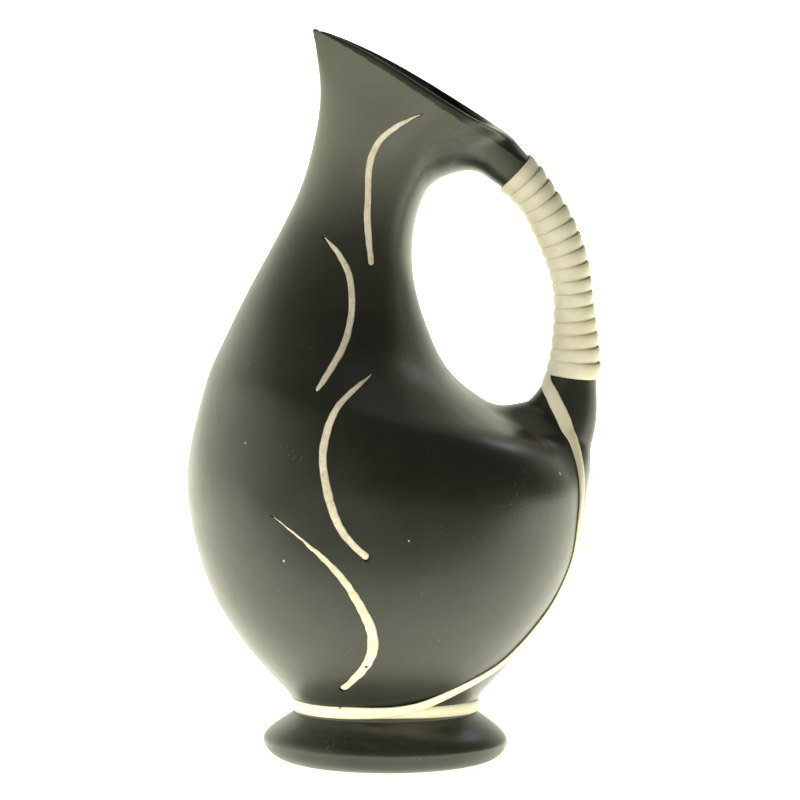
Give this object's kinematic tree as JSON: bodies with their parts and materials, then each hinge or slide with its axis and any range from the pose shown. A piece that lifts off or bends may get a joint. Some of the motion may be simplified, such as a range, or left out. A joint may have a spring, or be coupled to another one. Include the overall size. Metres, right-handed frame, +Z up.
{
  "type": "beaked jug vase",
  "caption": "Tall black glazed jug vase with an ovoid belly, slanted beaked mouth, turned foot and a looped handle bound in ivory strip, with cream gouged strokes.",
  "frame": {"origin": "on the standing surface, under the middle of the jug's bounding box", "axes": "+Z up; the beak points to -X and the handle is at +X; -Y is the near face"},
  "size_m": [0.156, 0.1496, 0.2806],
  "materials": {
    "glaze": "satin",
    "ivory_strip": "satin",
    "cream_slip": "matte"
  },
  "bodies": {
    "root": {"body_shell": "glaze", "pedestal_foot": "glaze", "handle": "glaze", "handle_binding": "ivory_strip", "waist_strip": "ivory_strip", "stroke_front_1": "cream_slip", "stroke_front_2": "cream_slip", "stroke_front_3": "cream_slip", "stroke_front_4": "cream_slip", "stroke_back_1": "cream_slip", "stroke_back_2": "cream_slip", "stroke_back_3": "cream_slip", "stroke_back_4": "cream_slip"}
  },
  "joints": []
}
